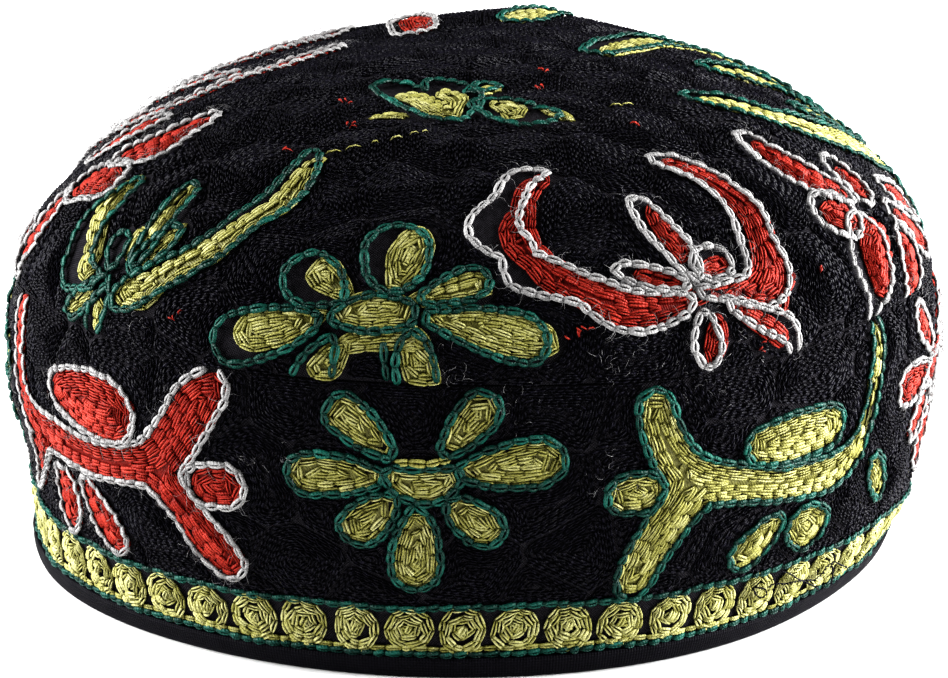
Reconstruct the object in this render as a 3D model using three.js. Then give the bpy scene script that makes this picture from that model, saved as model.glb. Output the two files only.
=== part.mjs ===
// A soft embroidered skullcap: a domed crown panel sewn to a side band with a bound rim.
// Millimetres, +Z up, the front towards -Y, and the floor at Z = 0.
import * as THREE from 'three';

// Outer sizes of the cap
const RIM_RADIUS = 88.8;
const WIDEST_RADIUS = 98.7;
const BAND_HEIGHT = 60;
const CROWN_RISE = 42.5;

// Cloth and sewing
const CLOTH = 2.4;
const BINDING_CLOTH = 0.9;
const BINDING_HEIGHT = 4.4;
const BINDING_ROUND = 0.8;
const SEAM_DIP = 0.8;
const SEAM_SOFTNESS = 3.5;
const GAP = 0.3;

// Shape of the dome: the powers that round its shoulder and flatten its top
const SHOULDER_POWER = 2.5;
const TOP_POWER = 1.6;
const EDGE_FADE = 6;
const SLOPE_STEP = 0.002;

// Fineness of the solids
const AROUND = 72;
const CROWN_RINGS = 13;
const ROUND_STEPS = 3;

// The seam between side band and crown, by azimuth in degrees from the front towards +X.
// height is a share of BAND_HEIGHT, and reach is a share of the round cap's radius there.
const SEAM = [
  { azimuth: -180, height: 1.02, reach: 0.985 },
  { azimuth: -150, height: 1.0, reach: 0.955 },
  { azimuth: -120, height: 0.96, reach: 0.925 },
  { azimuth: -90, height: 0.94, reach: 0.925 },
  { azimuth: -60, height: 1.03, reach: 0.985 },
  { azimuth: -30, height: 1.015, reach: 1.03 },
  { azimuth: 0, height: 0.985, reach: 0.98 },
  { azimuth: 30, height: 0.985, reach: 1.02 },
  { azimuth: 60, height: 1.03, reach: 1.01 },
  { azimuth: 90, height: 0.96, reach: 0.985 },
  { azimuth: 120, height: 0.985, reach: 1.005 },
  { azimuth: 150, height: 1.01, reach: 1.005 },
];

// The side band's bulge: out is the share of the way from RIM_RADIUS to WIDEST_RADIUS
// at each level, which is a share of the band's height.
const BULGE = [
  { level: 0, out: 0 },
  { level: 0.1, out: 0.16 },
  { level: 0.23, out: 0.33 },
  { level: 0.38, out: 0.62 },
  { level: 0.56, out: 0.88 },
  { level: 0.75, out: 1 },
  { level: 0.9, out: 1 },
  { level: 1, out: 0.93 },
];

// Pushed-in places (negative) and swellings of the side band. push is a share of
// WIDEST_RADIUS, width is in degrees and tall is a share of the band's height.
const BAND_DENTS = [
  { azimuth: -68, level: 0.42, push: -0.02, width: 16, tall: 0.13 },
  { azimuth: -60, level: 0, push: 0.012, width: 20, tall: 0.2 },
  { azimuth: 70, level: 0.26, push: 0.016, width: 18, tall: 0.16 },
  { azimuth: 60, level: 0, push: -0.028, width: 24, tall: 0.16 },
];

// Hollows and swellings of the crown, all in shares of WIDEST_RADIUS apart from
// turn, which is the angle in degrees of the long way.
const CROWN_DENTS = [
  { x: -0.14, y: 0.2, push: -0.022, long: 0.2, wide: 0.16, turn: -35 },
  { x: 0.14, y: 0.44, push: 0.02, long: 0.22, wide: 0.14, turn: 20 },
  { x: 0.02, y: -0.3, push: -0.014, long: 0.34, wide: 0.07, turn: 5 },
  { x: -0.45, y: 0.1, push: -0.015, long: 0.3, wide: 0.3, turn: 0 },
];

const FULL_TURN = 360;

// A table's column at any key, by smooth cubic pieces between its rows.
function readTable(rows, key, column, at) {
  let i = 0;
  while (i < rows.length - 2 && at > rows[i + 1][key]) i += 1;
  const before = rows[Math.max(i - 1, 0)];
  const start = rows[i];
  const end = rows[i + 1];
  const after = rows[Math.min(i + 2, rows.length - 1)];
  const span = end[key] - start[key];
  const s = (at - start[key]) / span;
  const slopeStart = (end[column] - before[column]) / (end[key] - before[key]);
  const slopeEnd = (after[column] - start[column]) / (after[key] - start[key]);
  const rise = end[column] - start[column];
  const bend = (1 - s) * (slopeStart * span - rise) - s * (slopeEnd * span - rise);
  return start[column] + s * rise + s * (1 - s) * bend;
}

// The seam's rows repeated on both sides, so that the table closes on itself.
const SEAM_ROUND = [-FULL_TURN, 0, FULL_TURN].flatMap((turn) =>
  SEAM.map((row) => ({ ...row, azimuth: row.azimuth + turn })));

function seamHeight(azimuth) {
  return BAND_HEIGHT * readTable(SEAM_ROUND, 'azimuth', 'height', azimuth);
}

function seamReach(azimuth) {
  return readTable(SEAM_ROUND, 'azimuth', 'reach', azimuth);
}

// Outer radius of the round band at a level, before its reach and dents.
function roundRadius(level) {
  return RIM_RADIUS + (WIDEST_RADIUS - RIM_RADIUS) * readTable(BULGE, 'level', 'out', level);
}

function bell(distance) {
  return Math.exp(-distance * distance);
}

function angleBetween(a, b) {
  return ((a - b + FULL_TURN * 1.5) % FULL_TURN) - FULL_TURN / 2;
}

// The reach grows from none at the rim to the whole of it at the seam.
const REACH_POWER = 0.7;

// Outer radius of the side band at an azimuth and a height over the floor.
function bandRadius(azimuth, height) {
  const level = Math.min(Math.max(height / seamHeight(azimuth), 0), 1);
  const reach = 1 + (seamReach(azimuth) - 1) * level ** REACH_POWER;
  let radius = roundRadius(level) * reach;
  for (const dent of BAND_DENTS) {
    const sideways = angleBetween(azimuth, dent.azimuth) / dent.width;
    const upwards = (level - dent.level) / dent.tall;
    radius += dent.push * WIDEST_RADIUS * bell(sideways) * bell(upwards);
  }
  return radius;
}

// How far the outside is drawn in near the seam.
function seamDraw(distance) {
  return SEAM_DIP * bell(distance / SEAM_SOFTNESS);
}

// The dome's radius and height at a share of the way out from its middle.
function domeSection(azimuth, share) {
  const edge = bandRadius(azimuth, seamHeight(azimuth));
  const blend = share * share;
  const foot = seamHeight(azimuth) * blend + BAND_HEIGHT * (1 - blend);
  const rise = CROWN_RISE * (1 - share ** SHOULDER_POWER) ** (1 / TOP_POWER);
  return new THREE.Vector2(edge * share, foot + rise + GAP);
}

// Raise or lower of the crown at a place in plan, fading out towards its edge.
function crownPush(x, y, share) {
  const fade = 1 - share ** EDGE_FADE;
  let push = 0;
  for (const dent of CROWN_DENTS) {
    const turn = THREE.MathUtils.degToRad(dent.turn);
    const dx = x / WIDEST_RADIUS - dent.x;
    const dy = y / WIDEST_RADIUS - dent.y;
    const along = (Math.cos(turn) * dx + Math.sin(turn) * dy) / dent.long;
    const across = (Math.cos(turn) * dy - Math.sin(turn) * dx) / dent.wide;
    push += dent.push * WIDEST_RADIUS * bell(along) * bell(across);
  }
  return push * fade;
}

// The way that the crown's outer face runs outwards at a share, which is plumb at its edge.
function domeSlope(azimuth, share) {
  if (share === 1) return new THREE.Vector2(0, -1);
  const step = Math.min(SLOPE_STEP, share, 1 - share);
  const inner = domeSection(azimuth, share - step);
  const outer = domeSection(azimuth, share + step);
  return share === 0 ? new THREE.Vector2(1, 0) : outer.sub(inner).normalize();
}

// A point at an azimuth, a radius and a height.
function polar(azimuth, radius, height) {
  const angle = THREE.MathUtils.degToRad(azimuth);
  return new THREE.Vector3(radius * Math.sin(angle), -radius * Math.cos(angle), height);
}

// A point of the crown, depth millimetres inside its outer face.
function crownPoint(azimuth, share, depth) {
  const here = domeSection(azimuth, share);
  const along = domeSlope(azimuth, share);
  const distance = here.y - seamHeight(azimuth);
  const draw = depth > 0 ? depth : seamDraw(distance);
  const point = polar(azimuth, here.x + along.y * draw, here.y - along.x * draw);
  point.z += crownPush(point.x, point.y, share);
  return point;
}

const azimuths = Array.from({ length: AROUND }, (_, i) => -180 + (FULL_TURN * i) / AROUND);

// A closed skin over rings of points. With two poles it is closed at both ends, and
// without them its last ring joins its first.
function closedSkin(rings, firstPole, lastPole) {
  const points = rings.flat();
  const faces = [];
  const corner = (ring, i) => (ring % rings.length) * AROUND + (i % AROUND);
  const strips = firstPole ? rings.length - 1 : rings.length;
  for (let ring = 0; ring < strips; ring += 1) {
    for (let i = 0; i < AROUND; i += 1) {
      faces.push(corner(ring, i), corner(ring, i + 1), corner(ring + 1, i + 1));
      faces.push(corner(ring, i), corner(ring + 1, i + 1), corner(ring + 1, i));
    }
  }
  if (firstPole) {
    const first = points.push(firstPole) - 1;
    const last = points.push(lastPole) - 1;
    for (let i = 0; i < AROUND; i += 1) {
      faces.push(first, corner(0, i + 1), corner(0, i));
      faces.push(last, corner(strips, i), corner(strips, i + 1));
    }
  }
  const geometry = new THREE.BufferGeometry().setFromPoints(points);
  geometry.setIndex(faces);
  geometry.computeVertexNormals();
  return geometry;
}

// The domed crown panel: its inner face from the middle out, then its outer face back.
function crownGeometry() {
  const shares = [];
  for (let ring = 1; ring <= CROWN_RINGS; ring += 1) {
    shares.push(Math.sin((Math.PI / 2) * (ring / CROWN_RINGS)));
  }
  const ringAt = (share, depth) => azimuths.map((azimuth) => crownPoint(azimuth, share, depth));
  const inner = shares.map((share) => ringAt(share, CLOTH));
  const outer = shares.map((share) => ringAt(share, 0)).reverse();
  return closedSkin([...inner, ...outer], crownPoint(0, 0, CLOTH), crownPoint(0, 0, 0));
}

// The side band: its outer face from the rim up to the seam, then its inner face down.
function bandGeometry() {
  const foot = BINDING_CLOTH + GAP;
  const outside = (azimuth, level) => {
    const top = seamHeight(azimuth);
    const height = foot + (top - foot) * level;
    return polar(azimuth, bandRadius(azimuth, height) - seamDraw(top - height), height);
  };
  const inside = (azimuth, level) => {
    const height = foot + (seamHeight(azimuth) - foot) * level;
    return polar(azimuth, bandRadius(azimuth, height) - CLOTH, height);
  };
  const levels = [0, 0.08, 0.16, 0.26, 0.36, 0.48, 0.62, 0.76, 0.87, 0.94, 1];
  const outer = levels.map((level) => azimuths.map((azimuth) => outside(azimuth, level)));
  const inner = levels.map((level) => azimuths.map((azimuth) => inside(azimuth, level)));
  return closedSkin([...outer, ...inner.reverse()]);
}

// The rim binding: a folded strip with a flat foot, whose slot holds the band's edge.
function bindingGeometry() {
  const slotOuter = GAP;
  const slotInner = -CLOTH - GAP;
  const outer = slotOuter + BINDING_CLOTH;
  const inner = slotInner - BINDING_CLOTH;
  const section = [];
  for (let i = 0; i <= ROUND_STEPS; i += 1) {
    const angle = (Math.PI / 2) * (i / ROUND_STEPS);
    const inwards = BINDING_ROUND * (1 - Math.sin(angle));
    const upwards = BINDING_ROUND * (1 - Math.cos(angle));
    section.push({ depth: outer - inwards, height: upwards });
  }
  section.push({ depth: outer, height: BINDING_HEIGHT - BINDING_CLOTH / 2 });
  section.push({ depth: (outer + slotOuter) / 2, height: BINDING_HEIGHT });
  section.push({ depth: slotOuter, height: BINDING_HEIGHT - BINDING_CLOTH / 2 });
  section.push({ depth: slotOuter, height: BINDING_CLOTH });
  section.push({ depth: slotInner, height: BINDING_CLOTH });
  section.push({ depth: slotInner, height: BINDING_HEIGHT - BINDING_CLOTH / 2 });
  section.push({ depth: (inner + slotInner) / 2, height: BINDING_HEIGHT });
  section.push({ depth: inner, height: BINDING_HEIGHT - BINDING_CLOTH / 2 });
  for (let i = ROUND_STEPS; i >= 0; i -= 1) {
    const angle = (Math.PI / 2) * (i / ROUND_STEPS);
    const inwards = BINDING_ROUND * (1 - Math.sin(angle));
    const upwards = BINDING_ROUND * (1 - Math.cos(angle));
    section.push({ depth: inner + inwards, height: upwards });
  }
  const rings = section.map(({ depth, height }) =>
    azimuths.map((azimuth) => polar(azimuth, bandRadius(azimuth, height) + depth, height)));
  return closedSkin(rings);
}

function cloth(colour, roughness) {
  return new THREE.MeshStandardMaterial({ color: colour, roughness, metalness: 0 });
}

function piece(name, geometry, material) {
  const mesh = new THREE.Mesh(geometry, material);
  mesh.name = name;
  return mesh;
}

const cap = new THREE.Group();
cap.add(piece('crown', crownGeometry(), cloth(0x14141b, 0.9)));
cap.add(piece('side_band', bandGeometry(), cloth(0x14141b, 0.9)));
cap.add(piece('rim_binding', bindingGeometry(), cloth(0x101014, 0.8)));

// The origin lies on the floor under the middle of the cap's box.
const box = new THREE.Box3().setFromObject(cap);
const middle = box.getCenter(new THREE.Vector3());
cap.position.set(-middle.x, -middle.y, -box.min.z);

export default cap;
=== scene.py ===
"""The looks of a soft round cap covered in chain-stitch embroidery, built round its CAD frame.

Lengths are millimetres until a mesh is made. The band and the crown are embroidered as flat
panels, as the real ones are, and each flat place has one place on the cap.
"""

import math

import bpy
import numpy as np
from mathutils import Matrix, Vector


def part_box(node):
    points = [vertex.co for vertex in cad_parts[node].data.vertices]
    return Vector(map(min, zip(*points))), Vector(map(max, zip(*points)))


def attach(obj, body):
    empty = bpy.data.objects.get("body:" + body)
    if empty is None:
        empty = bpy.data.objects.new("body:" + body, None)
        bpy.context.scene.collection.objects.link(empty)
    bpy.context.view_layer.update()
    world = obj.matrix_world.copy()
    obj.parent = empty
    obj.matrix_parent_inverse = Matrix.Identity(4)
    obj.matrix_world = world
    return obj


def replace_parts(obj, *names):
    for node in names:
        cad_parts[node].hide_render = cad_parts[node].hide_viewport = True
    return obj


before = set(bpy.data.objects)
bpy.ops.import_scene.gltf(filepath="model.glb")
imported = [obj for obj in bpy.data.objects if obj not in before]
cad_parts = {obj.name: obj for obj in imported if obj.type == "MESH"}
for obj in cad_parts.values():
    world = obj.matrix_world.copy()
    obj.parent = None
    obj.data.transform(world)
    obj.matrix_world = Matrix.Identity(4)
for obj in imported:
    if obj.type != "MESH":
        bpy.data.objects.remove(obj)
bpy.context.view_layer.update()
rng = np.random.default_rng(11)
MM = 0.001
FULL_TURN = 2 * math.pi

# Sizes of the cap, the same as the solids' own
RIM_RADIUS = 88.8
WIDEST_RADIUS = 98.7
BAND_HEIGHT = 60.0
CROWN_RISE = 42.5
CLOTH = 2.4
BINDING_CLOTH = 0.9
BINDING_HEIGHT = 4.4
SEAM_DIP = 0.8
SEAM_SOFTNESS = 3.5
GAP = 0.3
SHOULDER_POWER = 2.5
TOP_POWER = 1.6
REACH_POWER = 0.7
EDGE_FADE = 6

# azimuth from the front towards +X, share of the band's height, share of the radius
SEAM = np.array([
    (-180, 1.02, 0.985), (-150, 1.0, 0.955), (-120, 0.96, 0.925), (-90, 0.94, 0.925),
    (-60, 1.03, 0.985), (-30, 1.015, 1.03), (0, 0.985, 0.98), (30, 0.985, 1.02),
    (60, 1.03, 1.01), (90, 0.96, 0.985), (120, 0.985, 1.005), (150, 1.01, 1.005),
])
SEAM_ROUND = np.concatenate([SEAM + (turn, 0, 0) for turn in (-360, 0, 360)])
# level of the band, share of the way from the rim's radius to the widest one
BULGE = np.array([
    (0, 0), (0.1, 0.16), (0.23, 0.33), (0.38, 0.62), (0.56, 0.88), (0.75, 1), (0.9, 1), (1, 0.93),
])
# azimuth, level, push as a share of the widest radius, width in degrees, height in levels
BAND_DENTS = (
    (-68, 0.42, -0.02, 16, 0.13), (-60, 0, 0.012, 20, 0.2),
    (70, 0.26, 0.016, 18, 0.16), (60, 0, -0.028, 24, 0.16),
)
# x, y, push, long, wide (shares of the widest radius) and the turn of the long way in degrees
CROWN_DENTS = (
    (-0.14, 0.2, -0.022, 0.2, 0.16, -35), (0.14, 0.44, 0.02, 0.22, 0.14, 20),
    (0.02, -0.3, -0.014, 0.34, 0.07, 5), (-0.45, 0.1, -0.015, 0.3, 0.3, 0),
)
# Height of the stitched cloth's unevenness, and the step that its slope is measured over
PUCKER = 0.28
SLOPE_STEP = 0.25


# Shape of the cap

def read_table(rows, column, at):
    """A table's column at any key in its first column, by smooth cubic pieces."""
    keys, values = rows[:, 0], rows[:, column]
    i = np.clip(np.searchsorted(keys, at, side="right") - 1, 0, len(keys) - 2)
    before, after = np.maximum(i - 1, 0), np.minimum(i + 2, len(keys) - 1)
    span = keys[i + 1] - keys[i]
    rise = values[i + 1] - values[i]
    s = (at - keys[i]) / span
    slope_start = (values[i + 1] - values[before]) / (keys[i + 1] - keys[before])
    slope_end = (values[after] - values[i]) / (keys[after] - keys[i])
    bend = (1 - s) * (slope_start * span - rise) - s * (slope_end * span - rise)
    return values[i] + s * rise + s * (1 - s) * bend


def bell(distance):
    return np.exp(-distance * distance)


def unit(ways):
    return ways / np.linalg.norm(ways, axis=-1, keepdims=True)


def run_along(steps):
    """How far along a path each of its places lies, from the lengths of its steps."""
    return np.concatenate([[0], np.cumsum(steps)])


def step_lengths(path):
    return np.linalg.norm(np.diff(path, axis=0), axis=1)


def seam_height(azimuth):
    return BAND_HEIGHT * read_table(SEAM_ROUND, 1, azimuth)


def band_radius(azimuth, height):
    """Outer radius of the side band."""
    level = np.clip(height / seam_height(azimuth), 0, 1)
    reach = 1 + (read_table(SEAM_ROUND, 2, azimuth) - 1) * level ** REACH_POWER
    radius = (RIM_RADIUS + (WIDEST_RADIUS - RIM_RADIUS) * read_table(BULGE, 1, level)) * reach
    for dent_azimuth, dent_level, push, width, tall in BAND_DENTS:
        away = (azimuth - dent_azimuth + 180) % 360 - 180
        radius = radius + push * WIDEST_RADIUS * bell(away / width) * bell((level - dent_level) / tall)
    return radius


def polar(azimuth, radius, height):
    angle = np.radians(azimuth)
    return np.stack(np.broadcast_arrays(radius * np.sin(angle), -radius * np.cos(angle), height), axis=-1)


def crown_push(x, y):
    push = 0
    for dent_x, dent_y, depth, long, wide, turn in CROWN_DENTS:
        c, s = math.cos(math.radians(turn)), math.sin(math.radians(turn))
        dx, dy = x / WIDEST_RADIUS - dent_x, y / WIDEST_RADIUS - dent_y
        shape = bell((c * dx + s * dy) / long) * bell((c * dy - s * dx) / wide)
        push = push + depth * WIDEST_RADIUS * shape
    return push


def seam_draw(distance):
    """How far the outside is drawn in near the seam."""
    return SEAM_DIP * bell(distance / SEAM_SOFTNESS)


# The band panel's places are (along, height): along is the azimuth times BAND_REACH.
BAND_REACH = 96.0
TURN = FULL_TURN * BAND_REACH
# The crown panel's places are (x, y) on the flat round, measured from its middle.
SHARES = np.sin(np.linspace(0, math.pi / 2, 300))
CROWN_EDGE = RIM_RADIUS + (WIDEST_RADIUS - RIM_RADIUS) * BULGE[-1, 1]
RISES = CROWN_RISE * (1 - SHARES ** SHOULDER_POWER) ** (1 / TOP_POWER)
ARC = run_along(np.hypot(np.diff(CROWN_EDGE * SHARES), np.diff(RISES)))
CROWN_REACH = ARC[-1]


def band_place(flat):
    azimuth = np.degrees(flat[..., 0] / BAND_REACH)
    height = flat[..., 1]
    radius = band_radius(azimuth, height) - seam_draw(seam_height(azimuth) - height)
    return polar(azimuth, radius, height)


def crown_place(flat):
    azimuth = np.degrees(np.arctan2(flat[..., 0], -flat[..., 1]))
    share = np.interp(np.hypot(flat[..., 0], flat[..., 1]), ARC, SHARES)
    top = seam_height(azimuth)
    rise = CROWN_RISE * np.maximum(1 - share ** SHOULDER_POWER, 0) ** (1 / TOP_POWER)
    height = top * share ** 2 + BAND_HEIGHT * (1 - share ** 2) + rise + GAP
    draw = seam_draw(height - top) * share
    point = polar(azimuth, band_radius(azimuth, top) * share - draw, height)
    push = crown_push(point[..., 0], point[..., 1]) * (1 - share ** EDGE_FADE)
    return point + push[..., None] * np.array((0, 0, 1.0))


def pucker(point):
    """Small soft unevenness of the stitched cloth: a coarse and a fine set of waves."""
    x, y, z = point[..., 0], point[..., 1], point[..., 2]
    waves = np.sin(x / 6.1 + z / 9 + 1.3) * np.sin(y / 6.7 + z / 8 + 0.4)
    waves = waves + 0.7 * np.sin(x / 3.3 - z / 4.1) * np.sin(y / 3.7 + z / 4.6 + 2.1)
    return PUCKER * waves


def frames(place, flat):
    """Places on the cap, and the way out of the cloth at each."""
    step_u, step_v = np.array((SLOPE_STEP, 0)), np.array((0, SLOPE_STEP))
    along = place(flat + step_u) - place(flat - step_u)
    up = place(flat + step_v) - place(flat - step_v)
    out = unit(np.cross(along, up))
    point = place(flat)
    return point + out * pucker(point)[..., None], out


def cad_middle():
    """The middle of the solids' outline before they were centred on the origin."""
    low, high = (np.array(corner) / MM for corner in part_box("rim_binding"))
    azimuth = np.arange(-180, 180, 5.0)
    foot = polar(azimuth, band_radius(azimuth, 1.0) + GAP + BINDING_CLOTH, 1.0)
    return (foot.min(0) + foot.max(0) - low - high)[:2] / 2


MIDDLE = np.append(cad_middle(), 0.0)


def to_metres(point):
    return (point - MIDDLE) * MM


# Meshes from arrays

def make_mesh(name, points, faces, material, uv, tone=None):
    """One smooth mesh object riding on the cap's body, from arrays of points and faces."""
    mesh = bpy.data.meshes.new(name)
    corners = faces.shape[1]
    mesh.vertices.add(len(points))
    mesh.vertices.foreach_set("co", to_metres(points).astype(np.float32).ravel())
    mesh.loops.add(faces.size)
    mesh.loops.foreach_set("vertex_index", faces.astype(np.int32).ravel())
    mesh.polygons.add(len(faces))
    mesh.polygons.foreach_set("loop_start", np.arange(0, faces.size, corners, dtype=np.int32))
    mesh.polygons.foreach_set("use_smooth", np.ones(len(faces), dtype=bool))
    mesh.uv_layers.new(name="UVMap").data.foreach_set("uv", uv.astype(np.float32).ravel())
    if tone is not None:
        mesh.attributes.new("tone", "FLOAT", "POINT").data.foreach_set("value", tone.astype(np.float32))
    mesh.update()
    mesh.validate()
    mesh.materials.append(material)
    piece = bpy.data.objects.new(name, mesh)
    bpy.context.scene.collection.objects.link(piece)
    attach(piece, "root")
    return piece


def ring_faces(rings, around, closed):
    """Quads over rings of points; closed joins the last ring to the first."""
    ring = np.arange(rings if closed else rings - 1)[:, None]
    i = np.arange(around)[None, :]
    here, ahead = ring * around, (ring + 1) % rings * around
    j = (i + 1) % around
    return np.stack([here + i, here + j, ahead + j, ahead + i], axis=-1).reshape(-1, 4)


def split_quads(quads):
    return [quads[:, [0, 1, 2]], quads[:, [0, 2, 3]]]


def ring_uv(flat, period):
    """Each corner's place in the pattern, with the last strip carried past the join."""
    around = flat.shape[1]
    faces = ring_faces(len(flat), around, closed=True)
    uv = flat.reshape(-1, 2)[faces]
    last = (faces[:, 0] % around) == around - 1
    uv[last, 1:3] += period
    return uv


# Materials

class Paint:
    """A material in the making. Each method adds a node."""

    def __init__(self, name, roughness, gloss):
        self.material = bpy.data.materials.new(name)
        self.material.use_nodes = True
        self.tree = self.material.node_tree
        self.shader = self.tree.nodes["Principled BSDF"].inputs
        self.shader["Roughness"].default_value = roughness
        self.shader["Specular IOR Level"].default_value = gloss

    def add(self, kind, inputs, **settings):
        """A node's outputs, once its inputs are given numbers or other nodes' outputs."""
        node = self.tree.nodes.new(kind)
        for name, value in settings.items():
            setattr(node, name, value)
        for name, value in inputs.items():
            if isinstance(value, bpy.types.NodeSocket):
                self.tree.links.new(value, node.inputs[name])
            else:
                node.inputs[name].default_value = value
        return node.outputs

    def math(self, operation, *values):
        return self.add("ShaderNodeMath", dict(enumerate(values)), operation=operation)[0]

    def places(self):
        """The object's own places, and the uv map's two directions."""
        place = self.add("ShaderNodeTexCoord", {})
        return place["Object"], self.add("ShaderNodeSeparateXYZ", {0: place["UV"]})

    def noise(self, place, scale):
        return self.add("ShaderNodeTexNoise", {"Vector": place, "Scale": scale, "Detail": 2.0})["Fac"]

    def colour(self, factor, stops):
        """Colours the surface by a factor: stops are its values and their colours."""
        colour = self.add("ShaderNodeValToRGB", {"Fac": factor})["Color"]
        elements = colour.node.color_ramp.elements
        while len(elements) < len(stops):
            elements.new(0.5)
        for element, (position, tint) in zip(elements, stops):
            element.position = position
            element.color = (*tint, 1)
        self.tree.links.new(colour, self.shader["Base Color"])

    def bump(self, height, strength, distance):
        relief = {"Height": height, "Strength": strength, "Distance": distance}
        self.tree.links.new(self.add("ShaderNodeBump", relief)["Normal"], self.shader["Normal"])


# Length of a thread's twist, and the strength and height in metres of its relief
PLY_LENGTH = 0.55
PLY_BUMP = (0.55, 0.00006)
WEAVE_BUMP = (0.6, 0.00012)
CLOTH_GLOSS = 0.06
# Fineness of the fibres and of the lint, in turns to the metre
FIBRE_SCALE = 1400.0
LINT_SCALE = 900.0


def thread_material(name, dark, middle, light, roughness, gloss, mottle):
    """Twisted cotton: a tone for each stitch, which also carries painted shade at the links' ends and under
    the fills and painted highlight on the links' middles, fibres in the colour and the ply as a bump.
    """
    paint = Paint(name, roughness, gloss)
    place, uv = paint.places()
    fibres = paint.noise(place, FIBRE_SCALE)
    own = paint.add("ShaderNodeAttribute", {}, attribute_name="tone")["Fac"]
    spread = paint.math("MULTIPLY", fibres, mottle)
    factor = paint.math("ADD", paint.math("MULTIPLY", own, 1.02 - mottle), spread)
    paint.colour(factor, ((0.1, dark), (0.5, middle), (0.95, light)))
    twist = paint.math("ADD", paint.math("MULTIPLY", uv[0], 1 / PLY_LENGTH), uv[1])
    ply = paint.math("SINE", paint.math("MULTIPLY", twist, FULL_TURN))
    paint.bump(paint.math("ADD", ply, paint.math("MULTIPLY", fibres, 3.0)), *PLY_BUMP)
    return paint.material


def cloth_material(name, dark, light, weave_pitch, roughness):
    """Plain woven cotton: crossing yarns by the panel's own millimetres."""
    paint = Paint(name, roughness, CLOTH_GLOSS)
    place, uv = paint.places()
    turns = [paint.math("MULTIPLY", uv[axis], math.pi / weave_pitch) for axis in (0, 1)]
    weave = paint.math("MULTIPLY", *(paint.math("SINE", turn) for turn in turns))
    lint = paint.math("MULTIPLY", paint.noise(place, LINT_SCALE), 0.5)
    factor = paint.math("ADD", paint.math("MULTIPLY_ADD", weave, 0.3, 0.2), lint)
    paint.colour(factor, ((0.15, dark), (0.9, light)))
    paint.bump(weave, *WEAVE_BUMP)
    return paint.material


# colour, its dark, middle and light tone, roughness, gloss, the fibres' share in the tone
THREADS = {row[0]: thread_material(f"{row[0]}_thread", *row[1:]) for row in (
    ("yellow", (0.08, 0.076, 0.014), (0.3, 0.29, 0.085), (0.62, 0.61, 0.32), 0.45, 0.25, 0.4),
    ("teal", (0.0006, 0.01, 0.008), (0.003, 0.042, 0.031), (0.016, 0.154, 0.118), 0.42, 0.25, 0.4),
    ("red", (0.09, 0.005, 0.004), (0.29, 0.028, 0.018), (0.48, 0.068, 0.045), 0.48, 0.12, 0.4),
    ("white", (0.14, 0.138, 0.14), (0.3, 0.295, 0.295), (0.48, 0.475, 0.47), 0.5, 0.15, 0.4),
    ("black", (0.0016, 0.0014, 0.0027), (0.0045, 0.004, 0.0075), (0.02, 0.018, 0.032), 0.45, 0.12, 0.8),
)}
GROUND = cloth_material("ground_cloth", (0.003, 0.0028, 0.0034), (0.045, 0.042, 0.05), 0.28, 0.85)
BINDING = cloth_material("binding_cloth", (0.002, 0.0018, 0.003), (0.011, 0.01, 0.015), 0.6, 0.6)


# Base cloth and binding

# Points round the cap, and rings of points on each panel's outer and inner face
AROUND = 176
AZIMUTHS = np.linspace(-180, 180, AROUND, endpoint=False)
BAND_RINGS, BAND_INNER_RINGS = 34, 14
CROWN_RINGS, CROWN_INNER_RINGS = 44, 16
# Radius of the crown's first ring round its middle
CROWN_START = 1.5
# How far the base cloth lies under the stitched surface
GROUND_DEPTH = 0.45
# Size of the binding's unevenness, and its two counts of waves round the rim
BINDING_WAVE = 0.12
BINDING_WAVES = (61, 17)


def laid_cloth(place, flat, is_outer):
    """Rings of flat places laid on the cap as the cloth's outer or inner face."""
    point, out = frames(place, flat)
    depth = np.where(is_outer, GROUND_DEPTH, CLOTH)
    return point - out * depth[:, None, None]


def make_band_cloth():
    foot = BINDING_CLOTH + GAP
    levels = np.concatenate([np.linspace(0, 1, BAND_RINGS), np.linspace(1, 0, BAND_INNER_RINGS)])
    height = foot + (seam_height(AZIMUTHS)[None, :] - foot) * levels[:, None]
    flat = np.stack(np.broadcast_arrays(np.radians(AZIMUTHS)[None, :] * BAND_REACH, height), axis=-1)
    point = laid_cloth(band_place, flat, np.arange(len(flat)) < BAND_RINGS)
    faces = ring_faces(*flat.shape[:2], closed=True)
    uv = ring_uv(flat, (TURN, 0))
    return make_mesh("side_band_cloth", point.reshape(-1, 3), faces, GROUND, uv)


def make_crown_cloth():
    reach = np.concatenate([np.linspace(CROWN_START, CROWN_REACH, CROWN_INNER_RINGS),
                            np.linspace(CROWN_REACH, CROWN_START, CROWN_RINGS)])
    flat = polar(AZIMUTHS[None, :], reach[:, None], 0)[..., :2]
    point = laid_cloth(crown_place, flat, np.arange(len(flat)) >= CROWN_INNER_RINGS)
    points = np.concatenate([point.reshape(-1, 3), [point[0].mean(0), point[-1].mean(0)]])
    i = np.arange(AROUND)
    j = (i + 1) % AROUND
    tail = (len(flat) - 1) * AROUND
    start = np.stack([np.full(AROUND, len(points) - 2), j, i], axis=-1)
    end = np.stack([np.full(AROUND, len(points) - 1), tail + i, tail + j], axis=-1)
    quads = ring_faces(*flat.shape[:2], closed=False)
    faces = np.concatenate([*split_quads(quads), start, end])
    flats = np.concatenate([flat.reshape(-1, 2), np.zeros((2, 2))])
    return make_mesh("crown_cloth", points, faces, GROUND, flats[faces])


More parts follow.
